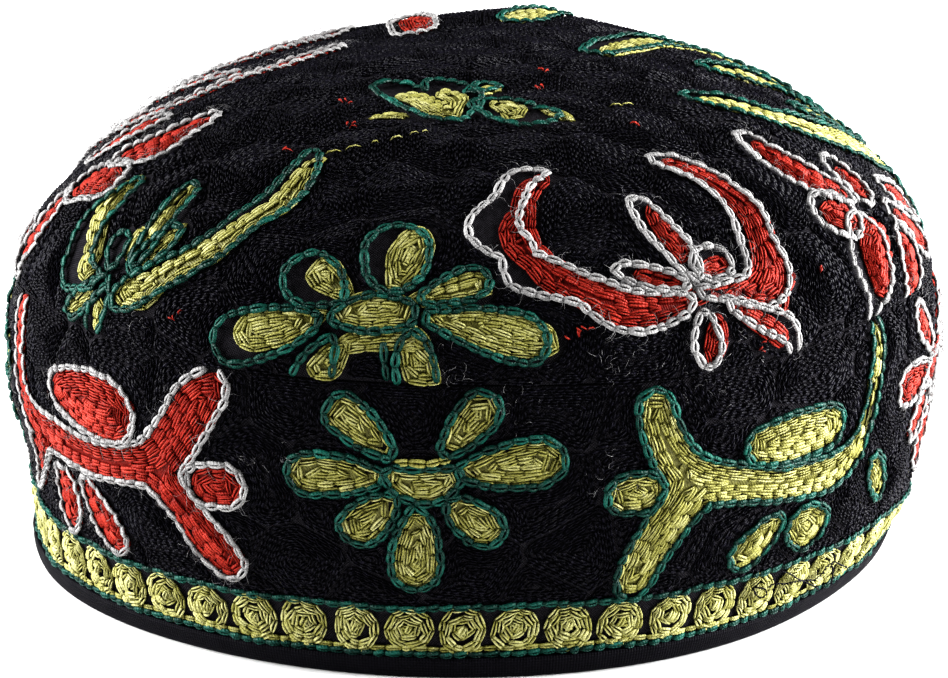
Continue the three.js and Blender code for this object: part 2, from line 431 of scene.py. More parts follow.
def make_binding():
    """The folded strip round the rim, soft and a little uneven."""
    slot_outer, slot_inner = GAP, -CLOTH - GAP
    outer, inner = slot_outer + BINDING_CLOTH, slot_inner - BINDING_CLOTH
    half, top = BINDING_CLOTH / 2, BINDING_HEIGHT
    # distance out of the band's surface and height, from the foot's outer edge round to its inner one
    section = np.array([
        (outer - 0.9, 0), (outer - 0.45, 0.12), (outer - 0.12, 0.45), (outer, 0.9),
        *((outer + 0.12, height) for height in (1.6, 2.3, 3.0, 3.6)),
        (outer, top - half), (outer - 0.3, top - 0.05), (slot_outer, top - 0.1), (slot_outer, BINDING_CLOTH),
        (slot_inner, BINDING_CLOTH), (slot_inner, top - 0.1), (inner + half, top), (inner, top - half),
        (inner, 0.9), (inner + 0.12, 0.45), (inner + 0.45, 0.12), (inner + 0.9, 0),
    ])
    depth, height = section.T
    azimuth = np.linspace(-180, 180, 2 * AROUND, endpoint=False)
    fine, coarse = BINDING_WAVES
    angle = np.radians(azimuth)
    wave = BINDING_WAVE * np.sin(angle * fine + 0.7) * np.sin(angle * coarse)
    swell = wave[None, :] * (height / BINDING_HEIGHT)[:, None]
    radius = band_radius(azimuth[None, :], height[:, None]) + depth[:, None] + swell
    points = polar(azimuth[None, :], radius, height[:, None])
    around = run_along(np.hypot(np.diff(depth), np.diff(height)))
    along, across = np.broadcast_arrays(np.radians(azimuth)[None, :] * BAND_REACH, around[:, None])
    turned = np.stack([along + across, along - across], axis=-1)
    faces = ring_faces(*turned.shape[:2], closed=True)
    uv = ring_uv(turned, (TURN, TURN))
    return make_mesh("rim_binding_cloth", points.reshape(-1, 3), faces, BINDING, uv)


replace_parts(make_band_cloth(), "side_band")
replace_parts(make_crown_cloth(), "crown")
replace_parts(make_binding(), "rim_binding")


# Stitches

# One side of a link: share of its length, share of its half width, height in thread radii, and tone, which
# is painted shade at the dipping ends and painted highlight on the raised middle
LINK_SIDE = np.array((
    (-0.07, 0.0, 0.2, -0.3), (0.12, 0.34, 1.5, -0.1), (0.48, 0.9, 1.9, 0.14),
    (0.8, 0.96, 1.5, 0.1), (1.02, 0.5, 0.8, -0.08), (1.08, 0.0, 0.6, -0.2),
))
# The same for one side of a fill link, whose two sides are separate strands with sharp ends
FILL_SIDE = np.array((
    (-0.16, 0.1, 0.1, -0.3), (0.14, 0.7, 1.4, -0.06), (0.5, 1.0, 1.9, 0.14),
    (0.86, 0.9, 1.4, 0.06), (1.14, 0.4, 0.2, -0.22),
))
# The dark fill's grain and a bowed strand: share of the length, way across, height
GRAIN = np.array(((-0.3, 0, 0.1), (0.45, 0, 1.2), (1.3, 0, 0.1)))
BOW = np.array(((0, 0, 0), (0.3, 0.5, 1), (0.7, 0.5, 1), (1, 0, 0)))
# Sides of a thread's section
LINK_SIDES = 3
# How far inside a fill's edge its first row runs, as a share of a row
FIRST_ROW = 0.15
# How far a link's end strays along its row, as a share of the pitch
JITTER = 0.2
# Shares that a link's width and height may have of the usual ones
WIDTHS, HEIGHTS = (0.85, 1.15), (0.8, 1.3)


def tube(path, radius, closed):
    """Rings of points round a path; an open path's first and last rings are its sharp ends."""
    sides = LINK_SIDES
    ahead, behind = np.roll(path, -1, axis=0), np.roll(path, 1, axis=0)
    if not closed:
        ahead[-1], behind[0] = path[-1], path[0]
    along = unit(ahead - behind)
    across = unit(np.cross(along, (0, 0, 1.0)))
    up = np.cross(across, along)
    angle = FULL_TURN * (np.arange(sides) + 0.5) / sides
    ring = np.cos(angle)[None, :, None] * across[:, None] + np.sin(angle)[None, :, None] * up[:, None]
    points = path[:, None] + radius * ring
    if closed:
        return points.reshape(-1, 3), ring_faces(len(path), sides, closed=True)
    inner = points[1:-1].reshape(-1, 3)
    quads = ring_faces(len(path) - 2, sides, closed=False)
    i = np.arange(sides)
    j, tail, first, last = (i + 1) % sides, (len(path) - 3) * sides, len(inner), len(inner) + 1
    caps = [np.stack([i * 0 + first, j, i], axis=-1), np.stack([tail + i, tail + j, i * 0 + last], axis=-1)]
    return np.concatenate([inner, path[:1], path[-1:]]), np.concatenate([*split_quads(quads), *caps])


def looped_link(length, width, thread):
    """A chain link: a closed loop of thread, its faces, its own uv and its tones, which are painted shade at
    the ends and painted highlight on the middle.
    """
    path = np.concatenate([LINK_SIDE, LINK_SIDE[-2:0:-1] * (1, -1, 1, 1)])
    tone = np.repeat(path[:, 3], LINK_SIDES)
    path = path[:, :3] * (length, width / 2 - thread, thread)
    points, faces = tube(path, thread, closed=True)
    run = run_along(step_lengths(np.concatenate([path, path[:1]])))
    ring, corner = faces // LINK_SIDES, faces % LINK_SIDES
    turn = np.where(np.array([0, 1, 1, 0]), corner[:, :1] + 1, corner[:, :1]) / LINK_SIDES
    ends = np.where(np.array([0, 0, 1, 1]), ring[:, :1] + 1, ring[:, :1])
    return points, faces, np.stack([run[ends], turn], axis=-1), tone


def strand(path, thread):
    """A strand with sharp ends, its faces and its own uv."""
    points, faces = tube(path, thread, closed=False)
    run = run_along(step_lengths(path))
    turn = np.tile(np.arange(LINK_SIDES) / LINK_SIDES, len(path) - 2)
    ply = np.column_stack([np.repeat(run[1:-1], LINK_SIDES), turn])
    return points, faces, np.concatenate([ply, [(0, 0.5), (run[-1], 0.5)]])[faces]


def paired_link(length, width, thread):
    """A plainer link of two strands with sharp ends."""
    points, faces, uv = [], [], []
    for way in (1, -1):
        path = FILL_SIDE[:, :3] * (length, way * (width / 2 - thread), thread)
        side_points, side_faces, side_uv = strand(path, thread)
        faces.append(side_faces + sum(len(part) for part in points))
        points.append(side_points)
        uv.append(side_uv)
    # The tones are painted shade at the strands' ends and painted highlight on their middles
    own = FILL_SIDE[:, 3]
    tone = np.concatenate([np.repeat(own[1:-1], LINK_SIDES), own[:1], own[-1:]])
    return np.concatenate(points), np.concatenate(faces), np.concatenate(uv), np.tile(tone, 2)


def grain(length, width, thread):
    """One short strand of the dark fill, thickest in the middle."""
    points, faces, uv = strand(GRAIN * (length, 1, thread), thread)
    return points, faces, uv, np.zeros(len(points))


def single_strand(length, width, thread):
    """One bowed strand, for loose fibres and single stitches."""
    points, faces, uv = strand(BOW * (length, width, width), thread)
    return points, faces, uv, np.zeros(len(points))


def gather(rows, columns):
    """The rows' arrays joined, column by column."""
    return [np.concatenate([row[k] for row in rows]) for k in range(columns)]


def make_stitches(name, rows, link, thread, colour, tone_middle=0.5, tone_spread=0.15):
    """One mesh of all the links: each has a start, a way to its end, a way out and a width."""
    start, run, out, width = gather(rows, 4)
    length = np.linalg.norm(run, axis=1)
    mean_length, mean_width = length.mean(), width.mean()
    points, faces, uv, link_shade_and_highlight = link(mean_length, mean_width, thread)
    along = run / length[:, None]
    out = unit(out - along * (out * along).sum(1, keepdims=True))
    across = np.cross(out, along)
    count = len(start)
    stretch = (length / mean_length)[:, None] * points[None, :, 0]
    spread = (width / mean_width)[:, None] * points[None, :, 1]
    lift = rng.uniform(*HEIGHTS, count)[:, None] * points[None, :, 2]
    placed = (start[:, None] + stretch[..., None] * along[:, None]
              + spread[..., None] * across[:, None] + lift[..., None] * out[:, None])
    all_faces = faces[None] + (np.arange(count) * len(points))[:, None, None]
    # Each link's random tone, plus its painted shade at the ends and painted highlight on the middle
    tone = rng.normal(tone_middle, tone_spread, count)[:, None] + link_shade_and_highlight[None]
    all_uv = np.broadcast_to(uv[None], (count, *uv.shape)).copy()
    all_uv[..., 0] += rng.uniform(0, 1, count)[:, None, None]
    make_mesh(name, placed.reshape(-1, 3), all_faces.reshape(-1, faces.shape[1]), THREADS[colour],
              all_uv.reshape(-1, 2), np.clip(tone, 0, 1).ravel())


def resample(path, pitch, closed):
    """Evenly spaced places along a flat path, about a pitch apart."""
    if closed:
        path = np.concatenate([path, path[:1]])
    run = run_along(step_lengths(path))
    count = max(int(round(run[-1] / pitch)), 2 if closed else 1)
    at = np.linspace(0, run[-1], count + 1)
    at[1:-1] += rng.uniform(-JITTER, JITTER, count - 1) * pitch
    if closed:
        at = (at + rng.uniform(0, pitch)) % run[-1]
    return np.stack([np.interp(at, run, path[:, axis]) for axis in (0, 1)], axis=-1)


def stitch(place, path, pitch, width, closed=True, lift=0.0, wander=0.1):
    """Chain links along a flat path, as arrays of starts, runs, ways out and widths."""
    nodes = resample(path, pitch, closed)
    nodes = nodes + rng.normal(0, wander, nodes.shape)
    if closed:
        nodes[-1] = nodes[0]
    point, out = frames(place, nodes)
    point = point + out * (lift - GROUND_DEPTH)
    widths = width * rng.uniform(*WIDTHS, len(nodes) - 1)
    return point[:-1], point[1:] - point[:-1], out[:-1] + out[1:], widths


# Outlines of flat shapes by distance

CELL = 0.4
# For each pattern of a cell's inside corners, the edges that the outline enters and leaves by
# 0 is the lower edge, 1 the right one, 2 the upper one and 3 the left one
CROSSINGS = {
    1: ((0, 3),), 2: ((1, 0),), 3: ((1, 3),), 4: ((2, 1),), 5: ((0, 3), (2, 1)),
    6: ((2, 0),), 7: ((2, 3),), 8: ((3, 2),), 9: ((0, 2),), 10: ((1, 0), (3, 2)),
    11: ((1, 2),), 12: ((3, 1),), 13: ((0, 1),), 14: ((3, 0),),
}


def outlines(field, level, corner):
    """Closed paths where the field crosses the level, with the inside on their left."""
    columns = field.shape[1]
    inside = field < level
    code = (inside[:-1, :-1] * 1 + inside[:-1, 1:] * 2 + inside[1:, 1:] * 4 + inside[1:, :-1] * 8)
    following = {}
    for pattern, crossings in CROSSINGS.items():
        row, column = np.nonzero(code == pattern)
        node = row * columns + column
        edges = (2 * node, 2 * (node + 1) + 1, 2 * (node + columns), 2 * node + 1)
        for entry, leave in crossings:
            following.update(zip(edges[entry].tolist(), edges[leave].tolist()))
    flat_field = field.ravel()
    paths = []
    while following:
        first, edge = following.popitem()
        chain = [first]
        while edge != first and edge in following:
            chain.append(edge)
            edge = following.pop(edge)
        node, upright = np.divmod(chain, 2)
        here, there = flat_field[node], flat_field[node + np.where(upright, columns, 1)]
        share = (level - here) / np.where(here == there, 1, there - here)
        x = node % columns + np.where(upright, 0, share)
        y = node // columns + np.where(upright, share, 0)
        paths.append(np.stack([x, y], axis=-1) * CELL + corner)
    return paths


def smooth_path(path):
    for _ in range(3):
        path = (np.roll(path, 1, axis=0) + 2 * path + np.roll(path, -1, axis=0)) / 4
    return path


def path_length(path):
    """Length of a closed path."""
    return np.linalg.norm(np.diff(path, axis=0, append=path[:1]), axis=1).sum()


def grid(low, high):
    """Places of a grid between two flat corners, and its own low corner."""
    x = np.arange(low[0], high[0] + CELL, CELL)
    y = np.arange(low[1], high[1] + CELL, CELL)
    return np.stack(np.meshgrid(x, y), axis=-1), np.array((x[0], y[0]))


def stroke_distance(places, nodes):
    """Distance to a stroke whose half width changes from node to node, negative inside."""
    best = np.full(places.shape[:-1], np.inf)
    for (x0, y0, half0), (x1, y1, half1) in zip(nodes[:-1], nodes[1:]):
        start, run = np.array((x0, y0)), np.array((x1 - x0, y1 - y0))
        share = np.clip(((places - start) @ run) / max(run @ run, 1e-9), 0, 1)
        away = np.linalg.norm(places - start - share[..., None] * run, axis=-1)
        best = np.minimum(best, away - half0 - (half1 - half0) * share)
    return best


def fine_nodes(nodes):
    """A stroke's nodes joined by a smooth curve."""
    nodes = np.array(nodes, float)
    if len(nodes) < 3:
        return nodes
    ends = np.concatenate([2 * nodes[:1] - nodes[1:2], nodes, 2 * nodes[-1:] - nodes[-2:-1]])
    pieces = []
    for a, b, c, d in zip(ends[:-3], ends[1:-2], ends[2:-1], ends[3:]):
        for s in np.linspace(0, 1, 5)[:-1]:
            pieces.append(0.5 * (2 * b + (c - a) * s + (2 * a - 5 * b + 4 * c - d) * s ** 2
                                 + (3 * b - a - 3 * c + d) * s ** 3))
    curve = np.array(pieces + [nodes[-1]])
    curve[:, 2] = np.maximum(curve[:, 2], 0.2)
    return curve


# Motifs. A stroke is a list of x, y and half width in millimetres. A part is sewn as one filled
# shape: its fill strokes, then the outline's own strokes where it was sewn out of place, none of
# them where there is no outline, and None where the outline follows the fill.
# On the band they lie round the motif's middle, +x towards +X at the front and +y up.
# On the crown they lie round the crown's middle, with the front at -y.

# angle in degrees, root, tip and half width of each petal
BAND_FLOWER = (
    (139, 6.5, 21.0, 3.1), (180, 6.5, 23.5, 3.7), (222, 6.0, 18.5, 3.5), (266, 6.0, 22.8, 4.2),
    (318, 7.0, 18.8, 3.5), (7, 7.0, 26.0, 4.1), (48, 6.0, 19.6, 3.2),
)
FLOWER_HEART = [(-5.2, 0.4, 1.2), (-2.4, -1.4, 2.3), (0.6, -1.9, 2.9), (3.4, -1.2, 2.4), (6.0, 0.2, 1.3)]
FLOWER_BRIDGE = [(-4.5, 3.2, 0.4), (0.5, 2.6, 0.4), (5.5, 3.4, 0.4)]


def petal(angle, root, tip, half):
    """A drop-shaped petal pointing out from the motif's middle."""
    c, s = math.cos(math.radians(angle)), math.sin(math.radians(angle))
    reach = tip - half
    stops = ((root + half * 0.2, half * 0.25), (root + (reach - root) * 0.55, half * 0.84), (reach, half))
    return [(c * r, s * r, h) for r, h in stops]


def separate(strokes):
    """Parts of one stroke each, whose outlines follow them."""
    return [([stroke], None) for stroke in strokes]


def paired(pairs):
    """Parts of one fill stroke and one outline stroke each."""
    return [([fill], [line]) for fill, line in pairs]


FLOWER = separate([petal(*row) for row in BAND_FLOWER] + [FLOWER_HEART]) + [([FLOWER_BRIDGE], [])]

BRANCH = [
    ([
        [(-27, 16.8, 2.8), (-26.7, 14, 3), (-25.1, 9.8, 3.1), (-22.5, 5.4, 3.4), (-18.3, 1.8, 3.8),
         (-11.8, 0, 3.4), (-6.6, -1.1, 3.1), (-0.8, -2.5, 3), (6.2, -3, 3.1), (13.8, -3.2, 3.4),
         (19.6, -1.7, 3.1), (21.6, 1.2, 2), (22.7, 4.6, 1.3), (23.9, 8, 1.2), (25, 12, 1.5),
         (26.1, 16.5, 1.5), (26.8, 22.5, 1.1)],
        [(-29, -18.2, 3.2), (-27.6, -14.1, 3.6), (-25.3, -8.8, 3.7), (-22.5, -4, 3.8), (-19.9, 0, 4.2)],
    ], None),
] + separate([
    [(-5, 6.6, 3.5), (3, 6.6, 4.3), (11, 6.6, 3.8)],
    [(-31.9, 0.6, 3.5), (-28.9, 0.6, 3.5)],
    [(1.2, -11, 1.6), (-2.2, -13.6, 3.4), (-5.1, -16, 3.5)],
    [(8.8, -13.2, 3.9), (11.4, -14.8, 4.2)],
    [(29.2, -5.5, 1.4), (32.2, -9.5, 2.2), (35.6, -13.6, 1.4)],
])
BRANCH_LEFT = [
    ([
        [(31, 17.4, 3), (28.4, 14.6, 4), (25.6, 9.8, 4.2), (21.7, 4.4, 4), (17.3, 0, 4),
         (11.2, -1.2, 3.5), (3.7, -2.4, 3.2), (-4.8, -2.8, 3.3), (-14.7, -2.4, 3.6), (-25.2, -1, 3.4),
         (-29, 4, 2.9), (-30.4, 9.5, 2.6), (-31, 16, 2.4), (-31, 22, 2.1)],
        [(30.8, -17.3, 3.5), (28.3, -14.4, 4.2), (25.6, -10.6, 3.8), (22.1, -6.1, 3.4), (19, -1.7, 4)],
        [(-21.2, -4.9, 2.8), (-31, -13, 2.1), (-37, -19.5, 0.9)],
    ], None),
] + separate([
    [(-8.6, 8.8, 3.6), (0.4, 8.8, 5.8), (7.6, 8.6, 6)],
    [(29.4, -1.8, 3.7), (32.6, -1.2, 3.9)],
    [(-14.8, -12.7, 3.4), (-15.8, -16.4, 4.4), (-16.6, -20, 3)],
    [(-4.3, -10.6, 2.1), (-1.7, -15.2, 4), (1.2, -18.6, 4)],
])
FRONT_FLOWER = paired([
    ([(-27, -98.4, 1), (-34.6, -98.6, 3.6), (-41.6, -98, 3.7)],
     [(-28.5, -99.2, 1.1), (-35, -99.2, 3.9), (-43, -98.6, 4.9), (-45.4, -98.4, 4.7)]),
    ([(-22.6, -95, 1.8), (-26.6, -90, 3.5)], [(-24, -95.6, 1.6), (-28, -91.6, 4.9), (-29.4, -90.6, 5.3)]),
    ([(-12.4, -94, 2.2), (-10.4, -88.4, 4.2), (-8.6, -85.4, 3.4)],
     [(-14, -94.4, 1.9), (-12.9, -90, 5.9), (-12.7, -87.6, 6.5)]),
    ([(-9.4, -97.8, 1.6), (-2.4, -96.6, 2.5), (3.6, -95, 2.7)],
     [(-8.7, -98.2, 0.7), (-3.4, -96.6, 2.6), (2.4, -94.6, 3.3)]),
    ([(-7, -101, 1.2), (1.6, -102.6, 3.1), (10, -104, 3.9), (17, -104.6, 3.1)],
     [(-7, -101.5, 1.2), (-0.4, -102.9, 3), (7.8, -104.2, 4.5), (13.4, -104.8, 4.5)]),
    ([(-24, -98.6, 1.5), (-18.6, -98.6, 3.2), (-12.4, -99.4, 2.7)],
     [(-25, -99.2, 1.6), (-18, -99.6, 3.6), (-11.6, -100.6, 2.6)]),
    ([(-24, -104.4, 1.8), (-17, -104.4, 2.1), (-8, -105.4, 1.9)], [(-16, -105, 0.3), (-16, -112, 0.3)]),
    ([(-24, -104.6, 1.5), (-28.4, -108.4, 3.4), (-32, -114, 3.4)],
     [(-26, -103.4, 1), (-30.5, -108, 3.6), (-34.6, -114, 4.6)]),
    ([(-11.6, -106, 1.6), (-9, -110.5, 3.5), (-7, -116, 3)],
     [(-10.4, -104.8, 1.3), (-10, -109, 3.9), (-9.6, -114.6, 4.4)]),
])
RED_TULIP = [
    ([
        [(17, -66.8, 0.8), (12.8, -71.6, 2), (12, -77.6, 2.2), (10.8, -84, 3.6), (15, -89, 2.9),
         (19, -92, 3.6), (25, -94, 3.1), (32, -95, 3.6), (38, -93.2, 2.8), (44, -90, 1.8),
         (47, -87, 1.2)],
        [(39, -56.4, 1.4), (45, -58, 2), (51, -61.2, 2.2), (56, -65.2, 3), (59, -72, 3), (61, -76.4, 4.3),
         (59.6, -81, 4), (53, -85, 1.9), (47, -87, 0.8)],
        [(60, -77, 2), (66.5, -75, 0.7)],
        [(60, -82, 2), (66, -83.6, 0.7)],
    ], [
        [(16.6, -66.4, 0.7), (11.6, -68.8, 2.4), (8.8, -75.6, 2.9), (6, -83, 4.9), (11.6, -86.4, 2.7)],
        [(11.6, -86.4, 2.7), (11.4, -92, 3.3), (16.8, -92, 4), (23.6, -93.2, 3.2), (31, -95.4, 4.3),
         (37.6, -94, 3.4), (44, -90.2, 1.9)],
        [(36.4, -56.6, 1.5), (43, -57, 2.5), (49.4, -60.2, 2.9), (54.6, -65, 3.6), (57, -71, 3.9),
         (60, -76, 5), (59.6, -81, 3.7), (52, -85, 1.9), (46, -87.6, 1)],
    ]),
] + paired([
    ([(36, -71, 1.5), (39, -76, 2.3), (43, -81, 1.4)],
     [(33.2, -70.8, 2.1), (37.2, -75.4, 3.2), (42, -80.6, 2.9), (45, -84, 1.4)]),
    ([(33, -87, 1), (38, -87, 1.5), (43, -87, 0.9)],
     [(30.4, -87.4, 1.4), (35.6, -87.4, 2.4), (42.6, -86.8, 1.5)]),
    ([(46.6, -82, 1.5), (50, -79.6, 1.8)], [(47, -80.8, 3.4), (49, -79.6, 3.4)]),
    ([(53, -87, 1.1), (60, -88, 1.9), (66, -88.4, 1.9)],
     [(52.4, -87, 1.1), (59.6, -87.2, 2.2), (66.6, -86.4, 2.3), (70.5, -88.6, 1.2)]),
    ([(50.8, -91.4, 1.6), (51.6, -95.4, 2.5), (51.4, -98.8, 1.8)],
     [(48, -91.8, 1.4), (49.4, -95.6, 3.1), (50, -98, 2.8)]),
])
SIDE_FLOWER = paired([
    ([(58, -42, 2), (64.4, -45, 3), (71, -47, 3), (76.6, -46, 1.6)],
     [(55.4, -41.4, 2.6), (61.4, -45, 4), (69.4, -46.8, 4.2), (77, -46, 2.4)]),
    ([(78, -36.4, 2.5), (81.2, -38.8, 2.9)], [(75.4, -36.4, 3.6), (78.8, -38.6, 4.2), (81.6, -41, 3)]),
    ([(74.4, -54, 3.2), (77.4, -52.6, 3.4)], [(73.6, -54.6, 5.2), (76, -53.4, 5.5)]),
    ([(86, -50.4, 4.2), (86.4, -56, 4.9), (88, -60.4, 3.8), (89.6, -64, 1.6)],
     [(83.6, -54, 6), (85.4, -60, 6.4), (88, -66, 2.8), (90.4, -70, 1)]),
    ([(95.4, -43.6, 3.4), (98.6, -47.4, 3.8), (100.4, -51.4, 2.4)],
     [(95.4, -42.4, 4.8), (98.4, -46.8, 5), (100, -52, 3.4)]),
    ([(94, -20.4, 3.2), (98.4, -13.4, 3.4)], [(91.4, -24, 4.2), (97.4, -14.6, 5.2)]),
    ([(94, -35, 3.2), (100.6, -30.6, 3.6)], [(92, -36.6, 4.4), (99.6, -31.6, 4.8)]),
])
LONG_TULIP = [
    ([
        [(-26, -58.8, 0.8), (-29, -63, 1.5), (-33, -70.6, 2.5), (-38, -73, 2), (-43, -76, 2.1),
         (-47.4, -78.8, 2.7), (-53, -79.4, 2.3), (-59, -80.2, 2.5), (-63, -82, 3.2), (-68, -79.4, 2.6)],
        [(-63, -51, 0.7), (-67.6, -51.4, 1.8), (-73, -56, 2.9), (-75, -63, 2.3), (-77, -67, 3),
         (-78, -68, 2.4)],
    ], [
        [(-28, -58.6, 1.7), (-30.4, -65, 2.9), (-34.2, -70.4, 3.4), (-40, -73.4, 3), (-46, -77.6, 3.3),
         (-52.4, -79.4, 3), (-59, -80, 3.4), (-65, -80.4, 3.6), (-70, -80, 2)],
        [(-65, -51.6, 1.8), (-71, -55, 3.4), (-76.4, -57.4, 4.4), (-79, -62.4, 4.4), (-81, -66, 3.8),
         (-74.6, -72.6, 1.7)],
    ]),
] + paired([
    ([(-63, -67.4, 1.5), (-66.4, -72.6, 1.5)], [(-68.4, -67.6, 3), (-70, -72, 1.4)]),
    ([(-51.4, -59.6, 0.8), (-61, -70.4, 1.7)],
     [(-52, -60.8, 1.9), (-56, -65.6, 2.5), (-61, -71, 2.2), (-65, -74.4, 1.4)]),
    ([(-53.6, -71, 1.2), (-61, -75, 2)], [(-55.2, -71.6, 2), (-60, -73.8, 2.6), (-64.6, -75.4, 1.6)]),
    ([(-86, -72.4, 1), (-77, -74, 1.7)], [(-85, -73, 1.8), (-78, -74.2, 2.4), (-72, -74.8, 1.2)]),
    ([(-79, -82, 1), (-75, -78.4, 1.6)], [(-81, -80.8, 1.9), (-76.6, -79.4, 2.9), (-72.6, -76.8, 1.6)]),
])
LEFT_FLOWER = paired([
    ([(-79, -39.6, 3.6), (-73.4, -44.2, 4)], [(-80, -39, 5), (-72.8, -44.4, 5.6)]),
    ([(-69, -37.6, 2.4), (-62, -40.2, 3.6), (-56, -38.2, 3), (-51.4, -35.2, 1.8)],
     [(-70, -37.6, 3.2), (-61, -40.6, 4.6), (-54, -37.2, 3.8), (-50.4, -34.6, 2.2)]),
    ([(-79, -19, 3), (-71.6, -22, 4), (-65.6, -25.4, 2.6)],
     [(-79, -20, 4.2), (-70, -23.6, 5.2), (-63.4, -25.6, 3.2)]),
    ([(-87, -37, 2.8), (-93, -38, 4.6), (-98.4, -38.6, 3.6)],
     [(-87.4, -37.4, 4.2), (-93.6, -38.8, 5.6), (-101, -37.4, 4.8)]),
]) + separate([
    [(-99, -24, 2.6), (-105, -21, 3.6)],
])
RIGHT_TULIP = [
    ([
        [(47.6, -28, 1.7), (55, -26.8, 2.6), (64.6, -23, 3.2), (74, -17, 3.6), (83, -6, 4.2),
         (90, 6, 3.8), (93, 14, 2.4)],
        [(30, -3.6, 2.4), (33.4, 5, 3.2), (38.4, 14.6, 3.5), (45, 23, 3.1), (55, 28, 3.1),
         (66, 29.4, 3.6), (76, 27, 3.8), (86, 21, 3.4), (93, 15, 2.2)],
    ], [
        [(45, -27.4, 2.4), (54, -26, 3.9), (64, -23.6, 4.4), (74, -16.6, 4.9), (83.6, -5.6, 5.4),
         (91, 7, 4.8), (94, 14, 3.2)],
        [(27.6, -4.4, 3.4), (31.8, 6, 4.3), (37.6, 16, 4.7), (45, 25, 4.2), (55.4, 30, 4.1),
         (66, 31, 4.6), (77, 28, 4.8), (87, 22, 4.3), (94, 15, 3)],
    ]),
] + paired([
    ([(54.4, 3.6, 2.3), (60, 8, 3.2), (66, 12.4, 3.2), (75, 13.6, 1.8)],
     [(52, 2.8, 3.3), (58.6, 8, 4.3), (66, 12.6, 4.2), (76, 14, 2.4)]),
    ([(72.6, -1.6, 1.7), (82, 5.4, 1.6)], [(71, -2, 2.6), (82.6, 6, 2.2)]),
]) + separate([
    [(98.6, 19, 1.4), (104.6, 26, 2.4)],
    [(99, 9.6, 1.4), (107, 6, 2.4)],
])
LEFT_TULIP = [
    ([
        [(-30, 6.6, 1.9), (-37.4, 0.4, 2.6), (-46, -5, 3.3), (-56, -8.6, 3.6), (-66, -6, 3.1),
         (-76, 1, 3.3), (-86, 13, 3.9), (-91, 26, 3.6), (-92, 35, 2.3)],
        [(-29.4, 41, 1.6), (-36.4, 33.6, 2.4), (-45, 30, 2.9), (-56, 32.4, 3.1), (-68, 38, 3.4),
         (-80, 41, 3.8), (-90, 37.6, 2.6)],
    ], [
        [(-29, 8.4, 2.4), (-37, 0.6, 3.6), (-46.4, -5.8, 4.4), (-57.4, -9.6, 4.9), (-67, -6, 4.3),
         (-77, 1.4, 4.4), (-87, 14, 4.9), (-92, 27, 4.6), (-92.6, 35, 3.2)],
        [(-27.4, 42.6, 2.2), (-36, 34, 3.5), (-45.4, 29.4, 4.1), (-57, 32.6, 4.2), (-69, 38.6, 4.4),
         (-81, 41, 4.9), (-91, 37, 3.4)],
    ]),
] + separate([
    [(-52.6, 9, 2.2), (-61, 14.4, 3.1), (-71, 22, 2.7), (-80, 29, 1.6)],
    [(-97.6, 32, 1.6), (-105, 29, 2.4)],
    [(-96, 40.6, 1.5), (-101, 48, 2.4)],
])
MIDDLE_FLOWER = [
    ([
        [(-10, -34.6, 3), (-7.6, -40.4, 2.5), (-5, -44.8, 2.5), (-2.4, -46.6, 2.2)],
        [(-3.4, -33.4, 2.3), (-1, -39.6, 2.1), (-2, -45.6, 1.6)],
    ], [
        [(-14, -30, 3.4), (-10, -35.6, 5), (-5.4, -43.4, 5.2), (-2, -46.6, 3.6)],
        [(-5.6, -28.4, 2), (-1.8, -33.6, 4.6), (0.2, -42, 3.8)],
    ]),
] + paired([
    ([(7.4, -42.4, 2.3), (10.6, -44.2, 2.2), (8.6, -47, 1.7)],
     [(3, -42.6, 1.8), (9.4, -45, 4.8), (13.6, -46.4, 3.2), (17, -44.6, 2)]),
]) + [
    ([[(15, -42.6, 0.9), (18, -44, 1.3), (21, -45.8, 0.8)]], []),
] + separate([
    [(3.4, -36, 1.2), (5.6, -31.6, 2.3)],
]) + [
    ([[(-10.4, -47.4, 0.6), (-17.4, -45.6, 0.6)]], []),
]
BACK_PETALS = paired([
    ([(-9.4, 27, 3.4), (-10.6, 36, 3.6), (-12, 44, 2)], [(-10.6, 27, 5), (-11.6, 36, 5), (-12, 45, 3)]),
])
BACK_LEAVES = paired([
    ([(10.8, 29.4, 3.3), (15, 36, 3.4), (20, 43, 1.8)],
     [(12.4, 30, 4.9), (16, 37, 4.7), (20.6, 44, 2.8)]),
])

# form, along, height, colours, shift of the outline
BAND_MOTIFS = (
    (FLOWER, -7.5, 42.5, "yellow", (0, 0)), (BRANCH, 62, 37.5, "yellow", (0, 0)),
    (BRANCH_LEFT, -76, 39.5, "red", (-0.5, 0.2)), (FLOWER, 123, 44, "red", (-0.6, 0.4)),
    (BRANCH_LEFT, 192, 39, "red", (0.4, 0.4)), (FLOWER, 260, 42, "yellow", (0, 0)),
    (BRANCH, -211, 38, "yellow", (0.3, 0)), (FLOWER, -276, 42.5, "red", (0.5, 0.4)),
    (FLOWER, -145, 42, "yellow", (0, 0.3)),
)
# form, turn round the crown in degrees, colours, shift of the outline
CROWN_MOTIFS = (
    (FRONT_FLOWER, 0, "yellow", (0, 0)), (RED_TULIP, 0, "red", (0, 0)), (SIDE_FLOWER, 0, "red", (0, 0)),
    (LONG_TULIP, 0, "yellow", (0, 0)), (LEFT_FLOWER, 0, "red", (-1, 0)),
    (RIGHT_TULIP, 0, "yellow", (0.6, 0.6)), (LEFT_TULIP, 0, "red", (-1, 0.6)),
    (MIDDLE_FLOWER, 0, "yellow", (-1, 0.5)), (BACK_PETALS, 0, "red", (0, 0)),
    (BACK_LEAVES, 0, "yellow", (0, 0)), (FRONT_FLOWER, 146, "yellow", (0, 0)),
    (RED_TULIP, 150, "red", (0, 0)), (FRONT_FLOWER, -141, "yellow", (0, 0)),
)

